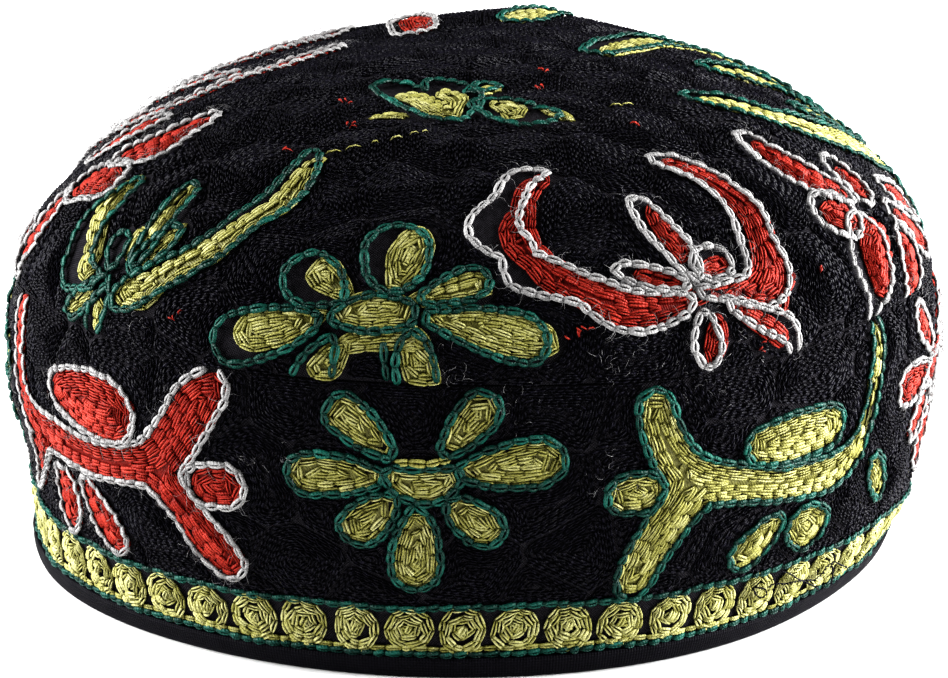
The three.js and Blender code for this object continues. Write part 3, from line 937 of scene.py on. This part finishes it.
# Each kind of stitch: its pitch, the distance between rows, its width and its thread's radius
FILL_PITCH, FILL_ROW, FILL_WIDTH, FILL_THREAD = 3.4, 1.08, 1.22, 0.28
DARK_PITCH, DARK_ROW, DARK_WIDTH, DARK_THREAD = 1.75, 0.5, 0.5, 0.29
LINE_PITCH, LINE_WIDTH, LINE_THREAD = 2.8, 1.7, 0.41
# How far an outline lies outside its fill, and how high it lies
LINE_OFFSET, LINE_LIFT = 0.6, 0.3
# Least depth of a fill that is sewn, and least lengths of a row and of the row in the last gap
SHALLOWEST, SHORTEST_ROW, SHORTEST_LAST_ROW = 0.15, 1.6, 4
# Where the row in the last gap runs, as a share of a row
LAST_ROW = 0.42
# Least number of cells in a stretch of an outline
SHORTEST_RUN = 6
# Distance that fills and outlines keep from a panel's edge
FILL_EDGE, LINE_EDGE = 0.3, 0.5
# Distance that the dark fill keeps from fills and from outlines
FILL_CLEARANCE, LINE_CLEARANCE = 0.9, 0.5
# The colours of a motif's fills and outlines
COLOURS = {"yellow": ("yellow", "teal"), "red": ("red", "white")}
# A stroke thinner than this is one row of links
THIN = 0.5
# The underlay of a fill: its cells, how far inside the fill it ends, how high it lies, and its tone, dark as
# painted shade of the gaps between the fill's rows
UNDERLAY_CELLS, UNDERLAY_INSET, UNDERLAY_LIFT, UNDERLAY_SHADE_TONE = 3, 0.1, 0.12, 0.05
# Height of the border's upper edge, and how far the stitches pass a panel's seam
BORDER_TOP = 15.2
PAST_SEAM = 0.2
# Size of the dark fill's patches, spacing of their rows, and how far their middles stray, as shares
PATCH, PATCH_ROWS, PATCH_STRAY = 17.0, 0.87, 0.28
# First row and shortest row of the dark fill, and how far it is measured round a motif
DARK_INSET, SHORTEST_DARK_ROW, DARK_REACH = 0.4, 2.2, 9
# How far the dark rows and the border lines stray, and how the dark tones spread
STEADY_WANDER, DARK_TONE_SPREAD = 0.08, 0.24
# Places that patch_distance works on at a time
BATCH = 20000
threads = {"yellow": [], "teal": [], "red": [], "white": []}
underlays = {"yellow": [], "red": []}


def underlay(place, field, corner):
    """The flat underlay stitches of a fill, as one layer of small cells; their dark tone is painted shade in
    the gaps between the rows.
    """
    inside = field[::UNDERLAY_CELLS, ::UNDERLAY_CELLS] < -UNDERLAY_INSET
    whole = inside[:-1, :-1] & inside[1:, :-1] & inside[:-1, 1:] & inside[1:, 1:]
    row, column = np.nonzero(whole)
    if not len(row):
        return np.zeros((0, 3)), np.zeros((0, 4), int), np.zeros((0, 4, 2))
    columns = inside.shape[1]
    first = row * columns + column
    faces = np.stack([first, first + 1, first + columns + 1, first + columns], axis=-1)
    used, faces = np.unique(faces, return_inverse=True)
    faces = faces.reshape(-1, 4)
    flat = np.stack([used % columns, used // columns], axis=-1) * CELL * UNDERLAY_CELLS + corner
    point, out = frames(place, flat)
    return point + out * (UNDERLAY_LIFT - GROUND_DEPTH), faces, flat[faces]


def full_rows(place, field, corner):
    """Rows of links following a shape's outline inwards, spaced to fill it."""
    deepest = -field.min()
    if deepest < SHALLOWEST:
        return []
    count = max(round(deepest / FILL_ROW), 1)
    row = deepest / count
    rows = []
    for number in range(count):
        inset = (number + FIRST_ROW) * row
        for path in outlines(field, -inset, corner):
            if path_length(path) > SHORTEST_ROW:
                rows.append(stitch(place, smooth_path(path), FILL_PITCH, FILL_WIDTH))
        for path in outlines(field, -inset - LAST_ROW * row, corner):
            low = ((path.min(0) - corner) / CELL).astype(int)
            high = ((path.max(0) - corner) / CELL).astype(int) + 2
            within = -field[low[1]:high[1], low[0]:high[0]].min()
            if within < inset + row and path_length(path) > SHORTEST_LAST_ROW:
                half = smooth_path(path)[:len(path) // 2]
                rows.append(stitch(place, half, FILL_PITCH, FILL_WIDTH, closed=False))
    return rows


def kept_runs(path, inside):
    """The stretches of a closed path that lie inside, or the whole path."""
    if inside.all():
        return [(path, True)]
    if not inside.any():
        return []
    turn = int(np.argmin(inside))
    path, inside = np.roll(path, -turn, axis=0), np.roll(inside, -turn)
    edges = np.flatnonzero(np.diff(np.concatenate([[0], inside.astype(int), [0]])))
    return [(path[a:b], False) for a, b in zip(edges[::2], edges[1::2]) if b - a > SHORTEST_RUN]


def sew_shape(place, edge_distance, strokes, colour, is_fill):
    """Sews one fill or outline and returns its strokes with the dark fill's clearance."""
    if max(stroke[:, 2].max() for stroke in strokes) < THIN:
        for stroke in strokes:
            threads[colour].append(stitch(place, stroke[:, :2], LINE_PITCH, LINE_WIDTH, False, LINE_LIFT))
        return []
    everything = np.concatenate(strokes)
    reach = everything[:, 2].max() + 2
    places, corner = grid(everything[:, :2].min(0) - reach, everything[:, :2].max(0) + reach)
    field = np.min([stroke_distance(places, stroke) for stroke in strokes], axis=0)
    if is_fill:
        field = np.maximum(field, FILL_EDGE - edge_distance(places))
        underlays[colour].append(underlay(place, field, corner))
        threads[colour] += full_rows(place, field, corner)
        return [stroke + (0, 0, FILL_CLEARANCE) for stroke in strokes]
    for path in outlines(field, 0, corner):
        path = smooth_path(path)
        for run, closed in kept_runs(path, edge_distance(path) > LINE_EDGE):
            threads[colour].append(stitch(place, run, LINE_PITCH, LINE_WIDTH, closed, LINE_LIFT))
    return [stroke + (0, 0, LINE_CLEARANCE) for stroke in strokes]


def embroider(place, edge_distance, to_panel, parts, colours, shift):
    """Sews one motif's fills and outlines. Returns the strokes that the dark fill keeps off."""
    kept = []
    for fill, line in parts:
        if line is None:
            line = [[(x + shift[0], y + shift[1], half + LINE_OFFSET) for x, y, half in stroke]
                    for stroke in fill]
        for shapes, colour, is_fill in zip((fill, line), COLOURS[colours], (True, False)):
            if shapes:
                strokes = [to_panel(fine_nodes(shape)) for shape in shapes]
                kept += sew_shape(place, edge_distance, strokes, colour, is_fill)
    return kept


def band_edges(places):
    """Distance inside the band panel's edges."""
    top = seam_height(np.degrees(places[..., 0] / BAND_REACH)) + PAST_SEAM
    return np.minimum(places[..., 1] - BORDER_TOP, top - places[..., 1])


def crown_edges(places):
    """Distance inside the crown panel's edge."""
    return CROWN_REACH + PAST_SEAM - np.linalg.norm(places, axis=-1)


def sew_motifs():
    """Sews all the motifs. Returns what the dark fill keeps off, on the band and on the crown."""
    kept_band, kept_crown = [], []
    for parts, along, height, colours, shift in BAND_MOTIFS:
        middle = (along, height, 0)
        kept_band += embroider(band_place, band_edges, lambda nodes: nodes + middle, parts, colours, shift)
    for parts, turn, colours, shift in CROWN_MOTIFS:
        c, s = math.cos(math.radians(turn)), math.sin(math.radians(turn))
        spin = np.array(((c, s, 0), (-s, c, 0), (0, 0, 1)))
        kept_crown += embroider(crown_place, crown_edges, lambda nodes: nodes @ spin, parts, colours, shift)
    return kept_band, kept_crown


# Dark fill: rows that circle inside many small patches, keeping off the motifs

def patch_middles(low, high):
    """Middles of the patches: a loose, offset grid."""
    rows = np.arange(low[1] - PATCH, high[1] + PATCH, PATCH * PATCH_ROWS)
    columns = np.arange(low[0] - PATCH, high[0] + PATCH, PATCH)
    x, y = np.meshgrid(columns, rows)
    x = x + (np.arange(len(rows)) % 2)[:, None] * PATCH / 2
    middles = np.stack([x, y], axis=-1).reshape(-1, 2)
    return middles + rng.uniform(-PATCH_STRAY * PATCH, PATCH_STRAY * PATCH, middles.shape)


def patch_distance(places, middles):
    """Distance from each place to the nearest border between patches."""
    flat = places.reshape(-1, 2)
    border = np.empty(len(flat))
    for begin in range(0, len(flat), BATCH):
        part = flat[begin:begin + BATCH]
        away = np.linalg.norm(part[:, None] - middles[None], axis=-1)
        order = np.argpartition(away, 3, axis=1)[:, :4]
        near = np.take_along_axis(away, order, axis=1)
        first = near.argmin(1)
        own = middles[order[np.arange(len(part)), first]]
        own_away = near[np.arange(len(part)), first]
        apart = np.linalg.norm(middles[order] - own[:, None], axis=-1)
        to_border = (near ** 2 - own_away[:, None] ** 2) / (2 * np.where(apart < 1e-6, 1, apart))
        border[begin:begin + BATCH] = np.where(apart < 1e-6, np.inf, to_border).min(1)
    return border.reshape(places.shape[:-1])


def dark_fill(place, low, high, edge_distance, kept):
    places, corner = grid(low, high)
    field = np.minimum(patch_distance(places, patch_middles(low, high)), edge_distance(places))
    for stroke in kept:
        reach = stroke[:, 2].max() + DARK_REACH
        start = np.maximum(((stroke[:, :2].min(0) - reach - corner) / CELL).astype(int), 0)
        end = np.maximum(((stroke[:, :2].max(0) + reach - corner) / CELL).astype(int), 0)
        window = (slice(start[1], end[1]), slice(start[0], end[0]))
        if field[window].size:
            field[window] = np.minimum(field[window], stroke_distance(places[window], stroke))
    rows = []
    inset = DARK_INSET
    while inset < field.max():
        for path in outlines(-field, -inset, corner):
            if path_length(path) > SHORTEST_DARK_ROW:
                rows.append(stitch(place, smooth_path(path), DARK_PITCH, DARK_WIDTH, wander=STEADY_WANDER))
        inset += DARK_ROW
    return rows


def make_dark(name, rows):
    """The dark links of a panel in two pieces, the front half and the back half."""
    joined = gather(rows, 4)
    front = joined[0][:, 1] < 0
    for half, chosen in (("front", front), ("back", ~front)):
        make_stitches(f"{name}_{half}", [[part[chosen] for part in joined]], grain, DARK_THREAD, "black",
                      tone_spread=DARK_TONE_SPREAD)


kept_band, kept_crown = sew_motifs()
band_low, band_high = (-TURN / 2, BORDER_TOP - 2), (TURN / 2, BAND_HEIGHT * 1.06)
crown_corner = CROWN_REACH + 1
crown_low, crown_high = (-crown_corner, -crown_corner), (crown_corner, crown_corner)
band_dark = dark_fill(band_place, band_low, band_high, band_edges, kept_band)
crown_dark = dark_fill(crown_place, crown_low, crown_high, crown_edges, kept_crown)
make_dark("band_dark_stitches", band_dark)
make_dark("crown_dark_stitches", crown_dark)


# Border: two teal lines, a yellow line and a row of yellow rosettes

ROSETTES = 57
ROSETTE_HEIGHT = 10.1
ROSETTE_SIZES = (4.35, 4.6)
ROSETTE_PITCH, ROSETTE_WIDTH, ROSETTE_LAST_PITCH, ROSETTE_TONE = 2.7, 1.3, 2.2, 0.7
# radius of each ring's middle line, as a share of the rosette's own
ROSETTE_RINGS = (1.0, 0.75, 0.5, 0.25)
# ends of the small stitch in a rosette's middle, from the middle
ROSETTE_TIP = ((-0.6, -0.8), (0.5, 1.1))
rosette_rows = []
# height, colour, pitch, width, lift
BORDER_LINES = (
    (15.0, "teal", LINE_PITCH, LINE_WIDTH, 0),
    (4.95, "teal", LINE_PITCH, LINE_WIDTH, 0.15),
    (6.0, "yellow", 2.8, 1.25, 0),
)
# Height of the border lines' slight waves, and their length for each radian
LINE_WAVE, LINE_WAVE_LENGTH = 0.15, 13


def border_line(height, colour, pitch, width, lift):
    along = np.linspace(-TURN / 2, TURN / 2, 400, endpoint=False)
    path = np.column_stack([along, height + LINE_WAVE * np.sin(along / LINE_WAVE_LENGTH)])
    path = np.concatenate([path, [[TURN / 2, path[0, 1]]]])
    threads[colour].append(stitch(band_place, path, pitch, width, False, lift, STEADY_WANDER))


def rosette(along, size):
    """Rings of links, the outer one first, round a last small stitch."""
    middle = np.array((along, ROSETTE_HEIGHT))
    angle = np.linspace(0, FULL_TURN, 28, endpoint=False)
    for share in ROSETTE_RINGS:
        radius = share * size * (1 + 0.05 * np.sin(2 * angle + rng.uniform(0, 6)))
        shift = rng.uniform(-0.15, 0.15, 2) * (1.2 - share) * size
        path = middle + shift + np.stack([radius * np.cos(angle), radius * np.sin(angle)], axis=-1)
        rosette_rows.append(stitch(band_place, path, ROSETTE_PITCH, ROSETTE_WIDTH, wander=0.14, lift=0.15))
    tip = middle + ROSETTE_TIP
    rosette_rows.append(stitch(band_place, tip, ROSETTE_LAST_PITCH, ROSETTE_WIDTH, closed=False, lift=0.45))


def make_threads():
    """The motifs and border lines of each colour in two pieces, the front half and the back half."""
    for colour, rows in threads.items():
        is_line = colour in ("teal", "white")
        thread, link = (LINE_THREAD, looped_link) if is_line else (FILL_THREAD, paired_link)
        front = [row[0][0, 1] < 0 for row in rows]
        for half, wanted in (("front", True), ("back", False)):
            chosen = [row for row, is_front in zip(rows, front) if is_front == wanted]
            make_stitches(f"{colour}_stitches_{half}", chosen, link, thread, colour)


def make_underlay(colour, layers):
    """The underlay of all of a colour's fills as one mesh, in the colour's darkest tone, as painted shade of
    the gaps between the fill rows.
    """
    base, faces = 0, []
    for points, layer_faces, _ in layers:
        faces.append(layer_faces + base)
        base += len(points)
    points = np.concatenate([layer[0] for layer in layers])
    uv = np.concatenate([layer[2].reshape(-1, 2) for layer in layers])
    make_mesh(f"{colour}_underlay_shade", points, np.concatenate(faces), THREADS[colour],
              uv, np.full(len(points), UNDERLAY_SHADE_TONE))


for row in BORDER_LINES:
    border_line(*row)
for number in range(ROSETTES):
    rosette((number + 0.5) / ROSETTES * TURN - TURN / 2, rng.uniform(*ROSETTE_SIZES))
make_threads()
make_stitches("rosette_stitches", rosette_rows, paired_link, FILL_THREAD, "yellow",
              ROSETTE_TONE)
for colour, layers in underlays.items():
    make_underlay(colour, layers)


# Loose fibres, lint and stray threads

# Radius of a fibre, a stray stitch and the loose thread
FIBRE, STRAY, LOOSE = 0.034, 0.2, 0.26
WHITE_HAIRS = 4500
# Shortest and longest hair of the white thread, and of the lint
HAIR_LENGTHS, LINT_LENGTHS = (1.0, 3.8), (0.6, 2.6)
# x, y, how far it spreads and how many fibres, on the crown and on the band
CROWN_LINT = ((33, -107, 7, 26), (60, -92, 6, 16), (-3, -111, 5, 14), (-66, -86, 5, 12))
BAND_LINT = ((10, 55, 4, 14), (27, 42, 5, 16), (44, 59, 8, 24), (-38, 44, 3, 10), (-30, 45, 3, 12))
# A stray stitch is one link: longer than any stray, its pitch leaves the path whole
WHOLE = 9
# short stitches left between motifs: x, y, to x, y on the crown
JUMPS = (
    (-26, -59, -22.5, -58.4), (-22, -58, -19, -57.4), (-17.4, -57, -15.6, -56.6),
    (-14, -56, -11.4, -55.2), (-10.4, -55, -8.4, -54.4), (-8, -54.6, -6.6, -54),
    (28, -38, 30.6, -36.4), (30.2, -36.8, 33, -34.8),
)
RED_SPOTS = (
    (23.6, -102.8), (72, -71.8), (33.7, -45), (-22.2, -38.4), (-20.9, -49), (-32.3, -54.5),
    (-57, -90.2), (15.9, -21.6), (15.3, -31.2), (62, -93), (25, -101),
)
RED_SPOT_STITCHES, RED_SPOT_LENGTH = 3, 1.6
# A loose black thread that lies over the border: its strands on the band, in millimetres
LOOSE_THREAD = (
    ((61, 12.7), (63.1, 10.3), (64.8, 9.6), (65.6, 10.4), (64.5, 11.9), (61.5, 12.9)),
    ((65.4, 11.9), (66.5, 12.4), (70, 11.5), (74.2, 11), (77.2, 10.2), (81.5, 8.9), (83.6, 9.7), (84, 11.2),
     (86.3, 11.9), (90.6, 9.8), (94.1, 8.3)),
    ((68.3, 14.6), (70.8, 13.6), (74.1, 11.5), (78.9, 9.1), (85.6, 5.6)),
    ((86.4, 10.7), (88.7, 8.2), (90.5, 5.5)),
)


def fibres(start, out, lengths):
    """Bowed fibres lying loosely on the thread at the given places."""
    count = len(start)
    way = unit(np.cross(out, rng.normal(0, 1, out.shape)))
    run = way * rng.uniform(*lengths, count)[:, None] + out * rng.uniform(-0.3, 0.7, count)[:, None]
    return start + out * 0.4, run, out + rng.normal(0, 0.6, out.shape), rng.uniform(0.3, 1.4, count)


def make_loose_thread():
    rows = [stitch(band_place, np.array(places, float), 0.9, 0.2, closed=False, lift=1.3, wander=0.02)
            for places in LOOSE_THREAD]
    make_stitches("black_stray_thread", rows, grain, LOOSE, "black")


def make_fibres():
    start, _, out = gather(threads["white"], 3)
    chosen = rng.integers(0, len(start), WHITE_HAIRS)
    out = unit(out[chosen])
    rows = [fibres(start[chosen] + out * 0.4, out, HAIR_LENGTHS)]
    for place, spots in ((crown_place, CROWN_LINT), (band_place, BAND_LINT)):
        for x, y, spread, count in spots:
            start, out = frames(place, np.array((x, y)) + rng.normal(0, spread * 0.5, (count, 2)))
            rows.append(fibres(start, out, LINT_LENGTHS))
    make_stitches("pale_fibres", rows, single_strand, FIBRE, "white", tone_middle=0.2)


def make_strays():
    rows = [stitch(crown_place, np.array(jump, float).reshape(2, 2), WHOLE, 0.5, closed=False, lift=0.4)
            for jump in JUMPS]
    make_stitches("yellow_jump_stitches", rows, single_strand, STRAY, "yellow")
    rows = []
    for spot in np.repeat(RED_SPOTS, RED_SPOT_STITCHES, axis=0):
        turn = rng.uniform(0, math.pi)
        end = spot + RED_SPOT_LENGTH * np.array((math.cos(turn), math.sin(turn)))
        path = np.array((spot, end)) + rng.normal(0, 0.5, 2)
        rows.append(stitch(crown_place, path, WHOLE, 0.5, closed=False, lift=0.35))
    make_stitches("red_stray_stitches", rows, single_strand, STRAY, "red")


make_loose_thread()
make_fibres()
make_strays()


# Camera, floor and lights

CAMERA_DISTANCE = 698.0
CAMERA_HEIGHT = 249.0
CAMERA_SIDE = 2.2
CAMERA_DIP = math.radians(16.7)
LENS = 132.3
FLOOR_TONE = 0.94
FLOOR_REACH = 30.0
WORLD_STRENGTH = 0.06
LIGHT_TARGET = (0, 0, 0.05)
# name, place and size in metres, power in watts
LIGHTS = (
    ("left_softbox", (-1.0, 0.02, 0.45), (1.0, 1.0), 31),
    ("right_softbox", (1.0, 0.06, 0.35), (1.0, 0.8), 43),
    ("top_softbox", (0, 0.35, 1.25), (0.9, 0.9), 2),
)


def make_camera():
    camera = bpy.data.objects.new("camera", bpy.data.cameras.new("camera"))
    camera.location = Vector(to_metres(np.array((CAMERA_SIDE, -CAMERA_DISTANCE, CAMERA_HEIGHT))))
    camera.rotation_euler = (math.pi / 2 - CAMERA_DIP, 0, 0)
    camera.data.lens = LENS
    camera.data.sensor_width = 36.0
    camera.data.clip_start = 0.01
    bpy.context.scene.collection.objects.link(camera)
    bpy.context.scene.camera = camera


def make_floor():
    paint = Paint("pale_floor", 0.9, 0.5)
    paint.shader["Base Color"].default_value = (FLOOR_TONE, FLOOR_TONE, FLOOR_TONE, 1)
    mesh = bpy.data.meshes.new("floor")
    corners = [(x * FLOOR_REACH, y * FLOOR_REACH, 0) for x, y in ((-1, -1), (1, -1), (1, 1), (-1, 1))]
    mesh.from_pydata(corners, [], [(0, 1, 2, 3)])
    mesh.materials.append(paint.material)
    floor = bpy.data.objects.new("floor", mesh)
    bpy.context.scene.collection.objects.link(floor)


def make_light(name, place, size, power):
    data = bpy.data.lights.new(name, "AREA")
    data.shape = "RECTANGLE"
    data.size, data.size_y = size
    data.energy = power
    light = bpy.data.objects.new(name, data)
    light.location = place
    light.rotation_euler = (Vector(LIGHT_TARGET) - Vector(place)).to_track_quat("-Z", "Y").to_euler()
    bpy.context.scene.collection.objects.link(light)


def make_world():
    world = bpy.data.worlds.new("studio")
    world.use_nodes = True
    background = world.node_tree.nodes["Background"].inputs
    background["Color"].default_value = (1, 1, 1, 1)
    background["Strength"].default_value = WORLD_STRENGTH
    bpy.context.scene.world = world


make_camera()
make_floor()
make_world()
for row in LIGHTS:
    make_light(*row)
bpy.context.scene.view_settings.view_transform = "Standard"
bpy.context.scene.view_settings.look = "High Contrast"
